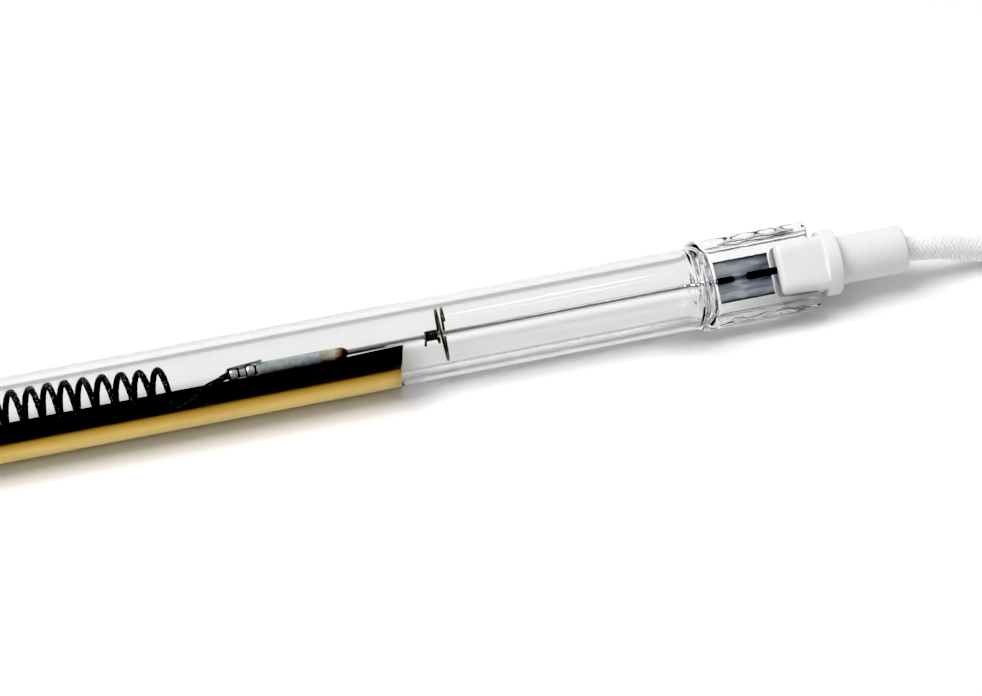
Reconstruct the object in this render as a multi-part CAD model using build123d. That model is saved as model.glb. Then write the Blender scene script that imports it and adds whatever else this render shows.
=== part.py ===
from build123d import *
import math
import os

# Quartz infrared heating tube with a carbon coil, pinch sealed and capped at both ends.
# Millimetres, +Z up. X runs along the tube, and the origin is under its middle, on the
# surface that it lies on. The pieces of the lamp are modelled with the tube axis on X
# through the origin and the pinches flat in the XY plane. stand() then turns them about
# the axis to the angle at which the lamp lies, and lifts them onto the surface.
# Each end is drawn at +X, and the left one is its mirror image.

# Quartz envelope
tube_diameter = 12.0
tube_wall = 1.4
shoulder_length = 4.2        # where the round tube flares to the width of the pinch
shoulder_round = 1.5         # how far the closed end of the tube falls away to the pinch
shoulder_flare = 0.2         # how far the shoulder stands out beyond the pinch
shoulder_fall = 0.6
bore_end_distance = 0.6      # from the start of the pinch back to the end of the bore

# Ends of the bore: distance back from its end, then share of its radius
bore_end_shape = [
    (3.4, 1.0),
    (1.6, 0.74),
    (0.0, 0.3),
]

# Pressed seals
pinch_width = 12.9
pinch_length = 15.0
pinch_tilt = 40.0            # degrees between the pinch and the surface
web_thickness = 2.4
web_length = 14.4
rail_width = 1.55
rail_height = 4.2
rail_bevel = 0.5

# Carbon rope: the coil and its tails
coil_turns = 36
coil_pitch = 2.77
coil_mean_radius = 3.0
strand_width = 0.84
runs_per_turn = 16
tail_length = 8.7            # from the last turn to the clip
core_rise = 0.4              # the inner parts sit a little off the axis of the tube

# Corners of a tail: share of its length, then shares of the coil's radius down and across
tail_shares = [
    (0.02, 1.0, 0.3),
    (0.1, 0.98, 0.55),
    (0.25, 0.92, 0.58),
    (0.5, 0.8, 0.33),
    (0.875, 0.0, 0.0),
]

# Clip, sleeve, bead and rod
clip_length = 4.4
clip_wall = 0.15
clip_plate_length = 5.2
clip_plate_width = 1.9
clip_plate_tilt = 4.0        # degrees that the plate rises towards the sleeve
clip_fold = 0.35
clip_band_width = 1.3
clip_band_rise = 0.15
clip_band_margin = 0.6       # from each end of the clip to its band
sleeve_length = 9.4
sleeve_diameter = 1.9
bead_length = 4.0
bead_diameter = 1.75
bead_tip_diameter = 1.15
bead_round_length = 0.8
rod_diameter = 0.9
rod_free_length = 55.2       # from the bead to the pinch
rod_in_sleeve = 6.0
rod_in_pinch = 2.8
rod_kink_length = 5.0
fit_clearance = 0.03

# Wire that centres the rod in the bore
support_distance = 43.7      # from the start of the pinch to the first wrap
support_wire = 0.38
support_wraps = 4.75
support_wrap_pitch = 0.44
support_flare_length = 0.4   # along the rod, where the wire leaves it for the ring
support_ring_turns = 1.2
support_ring_pitch = 1.0
support_ring_gap = 0.05
support_tail = 1.4
wrap_runs = 8                # straight runs in one turn of the tight wraps
ring_runs = 16

# Where the wire opens out: share of the flare along the rod, then shares of the ring's radius
support_flare_shares = [
    (0.2, -0.1, -0.4),
    (0.5, 0.25, -0.65),
    (0.8, 0.7, -0.55),
]

# Foil, pin and coating
foil_length = 8.0
foil_width = 5.8
foil_thickness = 0.1
foil_feather = 0.6           # width of the edge that thins out
foil_margin = 0.3            # from the start of the pinch to the foil
weld_offset = 0.2            # rod and pin are welded beside the middle of the foil
pin_diameter = 1.1
pin_start = 5.0
pin_length = 15.5
coat_thickness = 0.05
coat_margin = 46.9           # from the start of the pinch to the end of the coating
coat_start_angle = 136.0
coat_span = 137.0

# Ceramic cap
cap_start = 9.4              # from the start of the pinch to the front of the cap
block_length = 6.8
block_front_width = 7.4
block_front_height = 7.0
block_back_width = 8.0
block_back_height = 7.6
block_round = 1.2
collar_diameter = 9.7
collar_length = 2.3
barrel_diameter = 7.0
barrel_length = 10.5
cap_edge_bevel = 0.4
cement_gap = 0.3
cement_setback = 0.5
outlet_bore = 3.9
outlet_depth = 11.7
pin_hole_clearance = 0.1
splice_length = 6.0
splice_diameter = 2.5
splice_gap = 0.4             # from the floor of the outlet to the splice sleeve
splice_stop = 0.5            # between the ends of pin and core inside the splice
conductor_diameter = 1.1

# Braided lead of the right end
lead_diameter = 3.7
lead_in_cap = 4.5
tie_thickness = 0.2
tie_wall = 0.5
tie_width = 3.0
hank_distance = 21.0         # from the outlet of the cap to the start of the hank
hank_run = 60.0
hank_fold_radius = 9.95      # outer fold, at the middle of the cord
hank_gap = 0.15              # between neighbouring runs
hank_clearance = 0.13
hank_back = 2.5              # from the start of the hank to the middle of its inner fold
tie_place = 0.3              # share of the hank's run
terminal_barrel_length = 4.5
terminal_barrel_diameter = 3.0
terminal_eye_diameter = 7.0
terminal_hole = 4.3
terminal_neck_width = 4.0
terminal_thickness = 0.8
terminal_reach = 8.2         # from the start of the barrel to the middle of the eye

# Sizes worked out from those above
tube_radius = tube_diameter / 2
bore_radius = tube_radius - tube_wall
axis_height = tube_radius + coat_thickness
coil_length = coil_turns * coil_pitch
coil_end_x = coil_length / 2
clip_x = coil_end_x + tail_length
sleeve_x = clip_x + clip_length
bead_x = sleeve_x + sleeve_length
bead_end_x = bead_x + bead_length
pinch_x = bead_end_x + rod_free_length
cap_x = pinch_x + cap_start
collar_x = cap_x + block_length
barrel_x = collar_x + collar_length
outlet_x = barrel_x + barrel_length
outlet_floor_x = outlet_x - outlet_depth
slot_floor_x = pinch_x + web_length + cement_gap
slot_height = web_thickness + 2 * cement_gap
rod_radius = rod_diameter / 2
rod_bore = rod_diameter + 2 * fit_clearance
rod_weld_z = foil_thickness / 2 + rod_radius
pin_weld_z = foil_thickness / 2 + pin_diameter / 2
pin_end_x = pinch_x + pin_start + pin_length
clip_bore = math.sqrt(2) * strand_width + 2 * fit_clearance
clip_diameter = clip_bore + 2 * clip_wall
clip_band_diameter = clip_diameter + 2 * clip_band_rise
splice_x = outlet_floor_x + splice_gap
lead_start_x = outlet_x - lead_in_cap
lead_radius = lead_diameter / 2
lay_height = lead_radius + tie_thickness
hank_x = outlet_x + hank_distance
hank_pitch = lead_diameter + hank_gap
hank_bottom = -2 * hank_fold_radius
hank_half_width = lead_radius + hank_clearance

# Route of the lead from inside the cap to the hank, measured from the outlet of the cap
lead_route = [
    (-lead_in_cap, 0.0, axis_height),
    (3.0, 0.0, axis_height),
    (13.0, 0.1, 2.55),
    (17.0, 0.0, lay_height),
    (hank_distance, 0.0, lay_height),
]

# End of the lead inside the hank: share of the hank's run, then share of its outer fold's radius down
lead_end_shares = [
    (0.5, 0.387),
    (0.7, 0.92),
    (0.86, 1.0),
]


def along_x(x, y=0.0, z=0.0):
    """Plane at x whose normal is +X, with its own x axis along Y and its own y axis along Z."""
    return Plane(origin=(x, y, z), x_dir=(0, 1, 0), z_dir=(1, 0, 0))


def round_bar(diameter, start, end, y=0.0, z=0.0):
    """Solid cylinder along X between two places."""
    return extrude(along_x(start, y, z) * Circle(diameter / 2), end - start)


def round_tube(outer, inner, start, end, y=0.0, z=0.0):
    """Hollow cylinder along X between two places."""
    return round_bar(outer, start, end, y, z) - round_bar(inner, start, end, y, z)


def stand(piece):
    """Turn a piece of the lamp to its resting angle and lift it onto the surface."""
    return Pos(0, 0, axis_height) * Rot(pinch_tilt, 0, 0) * piece


def mirrored(piece):
    """The same piece at the left end of the lamp."""
    return piece.mirror(Plane.YZ)


def turned(piece):
    """The same piece at the left end, turned end for end, so that a winding keeps its hand."""
    return Rot(0, 180, 0) * piece


def seal_foil():
    """Thin foil with feathered edges, flat in the middle of the pinch."""
    half = foil_width / 2
    flat = half - foil_feather
    rise = foil_thickness / 2
    section = Polyline(
        (-half, 0), (-flat, -rise), (flat, -rise), (half, 0), (flat, rise), (-flat, rise), close=True
    )
    return extrude(along_x(pinch_x + foil_margin) * make_face(section), foil_length)


def inner_lead():
    """Rod from inside the sleeve to its weld on the foil, with a slight kink before the seal."""
    path = Polyline(
        (bead_x - rod_in_sleeve, core_rise, 0),
        (pinch_x - rod_kink_length, core_rise, 0),
        (pinch_x - rod_diameter, weld_offset, rod_weld_z),
        (pinch_x + rod_in_pinch, weld_offset, rod_weld_z),
    )
    start = along_x(bead_x - rod_in_sleeve, core_rise)
    return sweep(start * Circle(rod_radius), path=path, transition=Transition.RIGHT)


def outer_pin():
    """Pin from its weld on the foil into the splice."""
    return round_bar(pin_diameter, pinch_x + pin_start, pin_end_x, weld_offset, pin_weld_z)


def shoulder():
    """End of the tube: it flares to the width of the pinch and closes round it."""
    half_width = pinch_width / 2
    start = along_x(pinch_x - shoulder_length) * Circle(tube_radius)
    rim = along_x(pinch_x - shoulder_round) * Ellipse(half_width + shoulder_flare, tube_radius - shoulder_fall)
    closed = along_x(pinch_x) * Ellipse(half_width - rail_bevel, rail_height / 2 + shoulder_round)
    return loft([start, rim]) + loft([rim, closed])


def pinch():
    """Pressed seal: a flat web between two thick rails with bevelled ends."""
    start = pinch_x - shoulder_round
    rail_centre = (pinch_width - rail_width) / 2
    seal = extrude(along_x(start) * Rectangle(2 * rail_centre, web_thickness), web_length + shoulder_round)
    for side in (-1, 1):
        outline = chamfer(Rectangle(rail_width, rail_height).vertices(), rail_bevel)
        rail = extrude(along_x(start, side * rail_centre) * outline, pinch_length + shoulder_round)
        seal += chamfer(rail.faces().sort_by(Axis.X)[-1].edges(), rail_bevel / 2)
    return seal


def bore():
    """Inside of the tube, closing in two cones at each end."""
    half = pinch_x - bore_end_distance
    outline = [(0, bore_radius)]
    for back, share in bore_end_shape:
        outline.append((half - back, share * bore_radius))
    hollow = revolve(make_face(Polyline((0, 0), *outline, (half, 0), close=True)), Axis.X)
    return hollow + mirrored(hollow)


def quartz_envelope(embedded):
    """The whole glass piece, with room for the metal that is sealed into its pinches."""
    middle = pinch_x - shoulder_length
    end = shoulder() + pinch()
    glass = round_bar(tube_diameter, -middle, middle) + end + mirrored(end) - bore()
    for metal in embedded:
        glass -= metal
        glass -= mirrored(metal)
    return glass


def gold_reflector():
    """Coating on the part of the tube's outside that faces down and forwards."""
    half = pinch_x - coat_margin
    ring = round_tube(tube_diameter + 2 * coat_thickness, tube_diameter, -half, half)
    corners = [(0, 0)]
    for share in (0, 0.5, 1):
        angle = math.radians(coat_start_angle + coat_span * share)
        corners.append((2 * tube_diameter * math.cos(angle), 2 * tube_diameter * math.sin(angle)))
    wedge = extrude(along_x(-half) * make_face(Polyline(*corners, close=True)), 2 * half)
    return ring & wedge


def rope_tail(side):
    """Corners of one tail: off the last turn, along the bottom of the bore and up into the clip."""
    corners = []
    for along, down, across in tail_shares:
        corners.append(Vector(
            side * (coil_end_x + along * tail_length),
            core_rise - down * coil_mean_radius,
            -side * across * coil_mean_radius,
        ))
    corners.append(Vector(side * (sleeve_x - strand_width), core_rise, 0))
    return corners


def carbon_coil():
    """Carbon rope in short straight runs: a right-handed coil whose two ends run on into the clips."""
    turns = []
    runs = coil_turns * runs_per_turn
    for step in range(runs + 1):
        angle = 2 * math.pi * step / runs_per_turn
        turns.append(Vector(
            coil_end_x * (2 * step / runs - 1),
            core_rise - coil_mean_radius * math.cos(angle),
            -coil_mean_radius * math.sin(angle),
        ))
    path = Polyline(*rope_tail(-1)[::-1], *turns, *rope_tail(1))
    start = Plane(origin=path @ 0, x_dir=(0, 1, 0), z_dir=path % 0)
    return sweep(start * Rectangle(strand_width, strand_width), path=path, transition=Transition.RIGHT)


def crimp_clip():
    """Clip rolled round the tail, with two raised bands and a flat plate folded back over them."""
    clip = round_bar(clip_diameter, clip_x, sleeve_x, core_rise)
    for start in (clip_x + clip_band_margin, sleeve_x - clip_band_margin - clip_band_width):
        clip += round_bar(clip_band_diameter, start, start + clip_band_width, core_rise)
    clip -= round_bar(clip_bore, clip_x, sleeve_x, core_rise)
    plate_y = core_rise + clip_band_diameter / 2
    fold_start = core_rise + (clip_bore + clip_wall) / 2
    fold = Box(
        clip_fold, plate_y + clip_wall - fold_start, clip_bore / 2, align=(Align.MIN, Align.MIN, Align.CENTER)
    )
    plate = Box(clip_plate_length, clip_wall, clip_plate_width, align=(Align.MIN, Align.MIN, Align.CENTER))
    clip += Pos(clip_x, fold_start, 0) * fold
    return clip + Pos(clip_x, plate_y, 0) * Rot(0, 0, clip_plate_tilt) * plate


def tail_sleeve():
    """Grey sleeve that takes the end of the rod."""
    return round_tube(sleeve_diameter, rod_bore, sleeve_x, bead_x, core_rise)


def braze_bead():
    """Bead round the rod at the end of the sleeve, tapered towards the seal."""
    outline = Polyline(
        (0, rod_bore / 2),
        (0, bead_diameter / 2),
        (bead_length - bead_round_length, bead_diameter / 2),
        (bead_length, bead_tip_diameter / 2),
        (bead_length, rod_bore / 2),
        close=True,
    )
    return Pos(bead_x, core_rise, 0) * revolve(make_face(outline), Axis.X)


def support_spiral():
    """Wire in short straight runs: wound tightly on the rod, then opened into a ring that fits the bore."""
    wire_radius = support_wire / 2
    wrap_radius = (rod_radius + wire_radius + fit_clearance) / math.cos(math.pi / wrap_runs)
    ring_radius = bore_radius - wire_radius - support_ring_gap
    start_x = pinch_x - support_distance
    wraps_end_x = start_x + support_wraps * support_wrap_pitch
    points = [Vector(start_x, core_rise - support_tail, -wrap_radius)]
    for step in range(round(support_wraps * wrap_runs) + 1):
        turn = step / wrap_runs
        angle = 2 * math.pi * turn
        points.append(Vector(
            start_x + support_wrap_pitch * turn,
            core_rise + wrap_radius * math.sin(angle),
            -wrap_radius * math.cos(angle),
        ))
    for along, up, across in support_flare_shares:
        points.append(Vector(wraps_end_x + along * support_flare_length, up * ring_radius, across * ring_radius))
    for step in range(round(support_ring_turns * ring_runs) + 1):
        turn = step / ring_runs
        angle = 2 * math.pi * turn
        points.append(Vector(
            wraps_end_x + support_flare_length + support_ring_pitch * turn,
            ring_radius * math.cos(angle),
            ring_radius * math.sin(angle),
        ))
    path = Polyline(*points)
    start = Plane(origin=path @ 0, x_dir=(0, 0, 1), z_dir=path % 0)
    return sweep(start * RegularPolygon(wire_radius, 4), path=path, transition=Transition.RIGHT)


def end_cap():
    """Ceramic cap: slotted block over the web, collar, and round barrel with the lead outlet."""
    front = along_x(cap_x) * RectangleRounded(block_front_width, block_front_height, block_round)
    back = along_x(collar_x) * RectangleRounded(block_back_width, block_back_height, block_round)
    block = loft([front, back])
    block = chamfer(block.faces().sort_by(Axis.X)[0].edges(), cap_edge_bevel)
    collar = round_bar(collar_diameter, collar_x, barrel_x)
    collar = chamfer(collar.edges().filter_by(GeomType.CIRCLE), cap_edge_bevel)
    barrel = round_bar(barrel_diameter, barrel_x, outlet_x)
    barrel = chamfer(barrel.faces().sort_by(Axis.X)[-1].edges(), cap_edge_bevel)
    cap = block + collar + barrel
    slot_length = slot_floor_x - cap_x
    slot = Box(slot_length, 2 * block_back_width, slot_height, align=(Align.MIN, Align.CENTER, Align.CENTER))
    cap -= Pos(cap_x, 0, 0) * slot
    cap -= round_bar(outlet_bore, outlet_floor_x, outlet_x)
    pin_hole = pin_diameter + 2 * pin_hole_clearance
    return cap - round_bar(pin_hole, slot_floor_x, outlet_floor_x, weld_offset, pin_weld_z)


def cap_cement(seal, pin):
    """Cement that fills the slot of the cap round the web and the pin."""
    length = slot_floor_x - cap_x - cement_setback
    width = block_front_width - 2 * cement_setback
    fill = Box(length, width, slot_height, align=(Align.MIN, Align.CENTER, Align.CENTER))
    return Pos(cap_x + cement_setback, 0, 0) * fill - seal - pin


def splice_sleeve():
    """Crimp sleeve over the ends of the pin and of the lead's core."""
    bore = pin_diameter + 2 * fit_clearance
    return round_tube(splice_diameter, bore, splice_x, splice_x + splice_length, weld_offset, pin_weld_z)


def lead_conductor():
    """Stranded core of the lead, between the splice and the braided cover."""
    return round_bar(conductor_diameter, pin_end_x + splice_stop, lead_start_x, weld_offset, pin_weld_z)


def cord_path(name, points):
    """Straight runs joined by arcs as large as the runs allow."""
    points = [Vector(*point) for point in points]
    runs = [after - before for before, after in zip(points, points[1:])]
    radii = []
    for before, after in zip(runs, runs[1:]):
        half_turn = math.radians(before.get_angle(after)) / 2
        radii.append(0.48 * min(before.length, after.length) / math.tan(half_turn))
    path = FilletPolyline(*points, radius=radii)
    print(name, "radii", [round(radius, 1) for radius in radii], "length", round(path.length, 1))
    return path


def lead_wire():
    """Free part of the lead, from inside the cap to the hank."""
    path = cord_path("lead_wire", [(outlet_x + x, y, z) for x, y, z in lead_route])
    start = Plane(origin=path @ 0, z_dir=path % 0)
    return sweep(start * Circle(lead_radius), path=path)


def hank_route():
    """Corners of the hank on the table: out, round a fold, back, round a fold and into its own middle."""
    outer = hank_fold_radius
    inner = outer - hank_pitch / 2
    beside = math.tan(math.pi / 6)
    beyond = 1 / math.cos(math.pi / 6)
    corners = [
        (0, 0),
        (hank_run + beside * outer, 0),
        (hank_run + beyond * outer, -outer),
        (hank_run + beside * outer, hank_bottom),
        (hank_back - beside * inner, hank_bottom),
        (hank_back - beyond * inner, hank_bottom + inner),
        (hank_back - beside * inner, -hank_pitch),
    ]
    for along, down in lead_end_shares:
        corners.append((along * hank_run, -down * outer))
    return [(hank_x + x, y) for x, y in corners]


def lead_hank():
    """Outer shape of the hank in which the rest of the lead is put away."""
    hank = Part()
    for run in cord_path("lead_hank", hank_route()).edges():
        hank += extrude(trace(run, line_width=2 * hank_half_width), lead_diameter)
    return Pos(0, 0, tie_thickness) * hank


def lead_tie():
    """Flat band round the runs of the hank."""
    width = 2 * hank_half_width - hank_bottom
    height = lead_diameter + 2 * tie_thickness
    band = Box(tie_width, width + 2 * tie_wall, height) - Box(2 * tie_width, width, lead_diameter)
    return Pos(hank_x + tie_place * hank_run, hank_bottom / 2, height / 2) * band


def ring_terminal():
    """Ring terminal on the end of the lead."""
    before, end = [Vector(*corner) for corner in hank_route()[-2:]]
    heading = end - before
    barrel = extrude(along_x(0) * Circle(terminal_barrel_diameter / 2), terminal_barrel_length)
    flat = Circle(terminal_eye_diameter / 2)
    flat = Pos(terminal_reach, 0) * flat + Pos(terminal_reach / 2 + terminal_barrel_length / 4, 0) * Rectangle(
        terminal_reach - terminal_barrel_length / 2, terminal_neck_width
    )
    flat -= Pos(terminal_reach, 0) * Circle(terminal_hole / 2)
    tongue = Pos(0, 0, -terminal_barrel_diameter / 2) * extrude(flat, terminal_thickness)
    turn = math.degrees(math.atan2(heading.Y, heading.X))
    return Pos(end.X, end.Y, lay_height) * Rot(0, 0, turn) * (barrel + tongue)


def build():
    """All pieces by node name, in their places."""
    foil, rod, pin, cap = seal_foil(), inner_lead(), outer_pin(), end_cap()
    seal = pinch()
    pairs = {
        "seal_foil": foil,
        "inner_lead": rod,
        "outer_pin": pin,
        "end_cap": cap,
        "cap_cement": cap_cement(seal, pin),
        "splice_sleeve": splice_sleeve(),
        "crimp_clip": crimp_clip(),
        "tail_sleeve": tail_sleeve(),
        "braze_bead": braze_bead(),
        "support_spiral": support_spiral(),
    }
    pieces = {
        "quartz_envelope": stand(quartz_envelope([foil, rod, pin])),
        "gold_reflector": stand(gold_reflector()),
        "carbon_coil": stand(carbon_coil()),
        "lead_conductor": stand(lead_conductor()),
    }
    for name, piece in pairs.items():
        pieces[name + "_right"] = stand(piece)
        pieces[name + "_left"] = stand(turned(piece) if name == "support_spiral" else mirrored(piece))
    pieces["lead_wire"] = lead_wire()
    pieces["lead_hank"] = lead_hank()
    pieces["lead_tie"] = lead_tie()
    pieces["ring_terminal"] = ring_terminal()
    return pieces


os.makedirs("parts", exist_ok=True)
for node, solid in build().items():
    export_step(solid, "parts/" + node + ".step")
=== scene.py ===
import math

import bmesh
import bpy
import numpy as np
from mathutils import Matrix, Vector, noise


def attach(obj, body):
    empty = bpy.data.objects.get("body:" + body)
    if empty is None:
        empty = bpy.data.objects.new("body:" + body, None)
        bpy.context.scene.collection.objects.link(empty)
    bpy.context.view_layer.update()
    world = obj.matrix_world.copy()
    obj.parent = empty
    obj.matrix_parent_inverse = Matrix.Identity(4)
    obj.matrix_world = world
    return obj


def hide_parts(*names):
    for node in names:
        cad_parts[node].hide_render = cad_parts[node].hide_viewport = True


# Quartz heating tube with a carbon coil. The lamp's own pieces are worked out in millimetres with
# the axis of the tube on X and the pinches flat in the XY plane, as in the CAD source. LAY turns
# them to the resting angle, lifts them onto the table and brings them to metres. FLAT is for what
# lies on the table as it is.

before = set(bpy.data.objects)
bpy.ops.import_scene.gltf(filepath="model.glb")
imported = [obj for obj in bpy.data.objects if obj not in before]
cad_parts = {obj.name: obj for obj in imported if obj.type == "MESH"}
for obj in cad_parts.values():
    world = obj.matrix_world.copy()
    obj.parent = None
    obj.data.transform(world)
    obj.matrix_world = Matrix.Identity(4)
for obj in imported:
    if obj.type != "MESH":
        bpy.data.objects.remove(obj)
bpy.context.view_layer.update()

MM = 0.001

# Sizes and places repeated from the CAD source, in millimetres
TUBE_RADIUS = 6.0
AXIS_HEIGHT = 6.05
PINCH_TILT = 40.0
PINCH_X = 131.56
COIL_TURNS = 36
COIL_END = 49.86
COIL_PITCH = 2.77
COIL_RADIUS = 3.0
CLIP_X = 58.56
SLEEVE_X = 62.96
BEAD_X = 72.36
BEAD_END = 76.36
CAP_X = 140.96
COLLAR_X = 147.76
BARREL_X = 150.06
OUTLET_X = 160.56
CORE_RISE = 0.4
LEAD_RADIUS = 1.85
LAY_HEIGHT = 2.05

LAY = (
    Matrix.Scale(MM, 4)
    @ Matrix.Translation((0, 0, AXIS_HEIGHT))
    @ Matrix.Rotation(math.radians(PINCH_TILT), 4, "X")
)
FLAT = Matrix.Scale(MM, 4)
SIDES = ("right", "left")


# Materials

def material(name):
    """New material with its Principled shader."""
    mat = bpy.data.materials.new(name)
    mat.use_nodes = True
    return mat, mat.node_tree, mat.node_tree.nodes["Principled BSDF"]


def look(shader, **values):
    """Set plain values on a shader's sockets."""
    for socket, value in values.items():
        shader.inputs[socket.replace("_", " ")].default_value = value


def add(tree, kind, **settings):
    """New node with its settings."""
    node = tree.nodes.new(kind)
    for key, value in settings.items():
        if key in node.inputs:
            node.inputs[key].default_value = value
        else:
            setattr(node, key, value)
    return node


def grain(tree, scale, detail=4.0, stretch=(1, 1, 1), rough=0.5):
    """Noise over the piece in millimetres, stretched along an axis where asked."""
    coords = add(tree, "ShaderNodeTexCoord")
    mapping = add(tree, "ShaderNodeMapping")
    mapping.inputs["Scale"].default_value = [1000 * part for part in stretch]
    field = add(tree, "ShaderNodeTexNoise", Scale=scale, Detail=detail, Roughness=rough)
    tree.links.new(coords.outputs["Object"], mapping.inputs["Vector"])
    tree.links.new(mapping.outputs["Vector"], field.inputs["Vector"])
    return field.outputs["Fac"]


def ramp(tree, source, stops):
    """Colour ramp over a factor."""
    node = add(tree, "ShaderNodeValToRGB")
    ends = node.color_ramp.elements
    while len(ends) < len(stops):
        ends.new(0.5)
    for end, (place, colour) in zip(ends, stops):
        end.position = place
        end.color = (*colour, 1)
    tree.links.new(source, node.inputs["Fac"])
    return node.outputs["Color"]


def bump(tree, shader, height, strength, distance):
    """Bump from a height field, with its depth in metres."""
    node = add(tree, "ShaderNodeBump", Strength=strength, Distance=distance)
    tree.links.new(height, node.inputs["Height"])
    tree.links.new(node.outputs["Normal"], shader.inputs["Normal"])


def combine(tree, operation, *values):
    """Numbers and fields put together by a Math node."""
    node = add(tree, "ShaderNodeMath", operation=operation)
    for socket, value in zip(node.inputs, values):
        if isinstance(value, float):
            socket.default_value = value
        else:
            tree.links.new(value, socket)
    return node.outputs[0]


def blended(tree, kind, first, second):
    """Two colours multiplied or added."""
    node = add(tree, "ShaderNodeMix", data_type="RGBA", blend_type=kind)
    node.inputs[0].default_value = 1.0
    tree.links.new(first, node.inputs[6])
    tree.links.new(second, node.inputs[7])
    return node.outputs[2]


def between(tree, source, low, high):
    """A factor stretched to run from low to high."""
    node = add(tree, "ShaderNodeMapRange")
    node.inputs["To Min"].default_value = low
    node.inputs["To Max"].default_value = high
    tree.links.new(source, node.inputs["Value"])
    return node.outputs["Result"]


def attribute(tree, name):
    """A number stored on the mesh by the script."""
    return add(tree, "ShaderNodeAttribute", attribute_name=name).outputs["Fac"]


def clear_quartz():
    mat, _, shader = material("clear_quartz")
    look(shader, Base_Color=(0.915, 0.92, 0.91, 1), Roughness=0.0, IOR=1.458, Transmission_Weight=1.0)
    look(shader, Specular_Tint=(0.35, 0.35, 0.35, 1))
    return mat


def gold_coating():
    mat, tree, shader = material("gold_coating")
    look(shader, Metallic=0.45, IOR=1.5)
    # Tone across the coating from its near edge: dark brown along that edge, painted shade, rising to a
    # bright band about a third of the way round, a painted highlight, then even gold to the far edge
    tone = ramp(tree, attribute(tree, "around"), [
        (0.0, (0.28, 0.15, 0.03)),
        (0.05, (0.5, 0.31, 0.07)),
        (0.14, (0.78, 0.55, 0.17)),
        (0.3, (0.95, 0.78, 0.36)),
        (0.42, (0.84, 0.72, 0.42)),
        (1.0, (0.86, 0.64, 0.24)),
    ])
    streaks = ramp(tree, grain(tree, 0.35, 5, (0.12, 1, 1), 0.6), [
        (0.3, (0.86, 0.81, 0.72)),
        (0.62, (1, 1, 1)),
    ])
    tree.links.new(blended(tree, "MULTIPLY", tone, streaks), shader.inputs["Base Color"])
    rough = between(tree, grain(tree, 1.2, 4, (0.3, 1, 1)), 0.3, 0.44)
    tree.links.new(rough, shader.inputs["Roughness"])
    bump(tree, shader, grain(tree, 2.5, 4, (0.3, 1, 1)), 0.3, 0.00003)
    return mat


def painted_reflection_backing():
    """Inner side of the coating, as seen through the glass: painted near black, standing in for the dark
    reflection the gold shows from inside, with a few painted glints.
    """
    mat, tree, shader = material("painted_reflection_backing")
    look(shader, IOR=1.2, Roughness=0.25)
    tone = ramp(tree, grain(tree, 1.1, 6, (0.3, 1, 1), 0.65), [
        (0.5, (0.0012, 0.0011, 0.001)),
        (0.66, (0.004, 0.0036, 0.003)),
        (0.76, (0.14, 0.13, 0.11)),
    ])
    tree.links.new(tone, shader.inputs["Base Color"])
    return mat


def carbon_rope():
    mat, tree, shader = material("carbon_rope")
    look(shader, IOR=1.3, Roughness=0.6, Specular_IOR_Level=0.2)
    # Near black, darker where the yarns dip into their gaps, painted shade; the grey speckles added to it
    # are painted glints
    tone = ramp(tree, attribute(tree, "weave"), [
        (0.0, (0.001, 0.001, 0.001)),
        (0.6, (0.004, 0.004, 0.005)),
        (1.0, (0.016, 0.016, 0.018)),
    ])
    glints = ramp(tree, grain(tree, 4.5, 2, (1, 1, 1), 0.5), [
        (0.56, (0.0, 0.0, 0.0)),
        (0.66, (0.3, 0.3, 0.31)),
    ])
    tree.links.new(blended(tree, "ADD", tone, glints), shader.inputs["Base Color"])
    bump(tree, shader, grain(tree, 12, 3), 0.6, 0.00005)
    return mat


def metal(name, colour, rough, scale=2.0, spread=0.25, stretch=(0.2, 1, 1)):
    """Worn metal: tone and roughness vary with a grain along X."""
    mat, tree, shader = material(name)
    look(shader, Metallic=1.0)
    dark = tuple(part * (1 - spread) for part in colour)
    field = grain(tree, scale, 5, stretch, 0.6)
    tree.links.new(ramp(tree, field, [(0.32, dark), (0.68, colour)]), shader.inputs["Base Color"])
    level = between(tree, field, rough * 0.75, min(1.0, rough * 1.35))
    tree.links.new(level, shader.inputs["Roughness"])
    bump(tree, shader, grain(tree, scale * 3, 4, stretch), 0.35, 0.00002)
    return mat


def matte(name, colour, rough, scale=1.5, spread=0.08, depth=0.00003, strength=0.4, subsurface=0.0):
    """Matte fired or woven surface with faint mottling."""
    mat, tree, shader = material(name)
    look(shader, Roughness=rough, IOR=1.45)
    if subsurface:
        look(shader, Subsurface_Weight=subsurface, Subsurface_Scale=0.0006)
    dark = tuple(part * (1 - spread) for part in colour)
    field = grain(tree, scale, 6, (1, 1, 1), 0.6)
    tree.links.new(ramp(tree, field, [(0.3, dark), (0.7, colour)]), shader.inputs["Base Color"])
    bump(tree, shader, grain(tree, scale * 6, 5), strength, depth)
    return mat


def burnt_bead():
    mat, tree, shader = material("burnt_bead")
    look(shader, Roughness=0.32, IOR=1.5)
    field = grain(tree, 0.9, 5, (0.35, 1.6, 1.6), 0.65)
    tone = ramp(tree, combine(tree, "MULTIPLY_ADD", field, 0.55, attribute(tree, "along")), [
        (0.22, (0.34, 0.36, 0.37)),
        (0.34, (0.62, 0.57, 0.42)),
        (0.44, (0.84, 0.8, 0.66)),
        (0.56, (0.42, 0.3, 0.2)),
        (0.7, (0.1, 0.055, 0.035)),
        (0.9, (0.045, 0.022, 0.016)),
    ])
    tree.links.new(tone, shader.inputs["Base Color"])
    bump(tree, shader, grain(tree, 3, 4), 0.5, 0.00006)
    return mat


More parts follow.
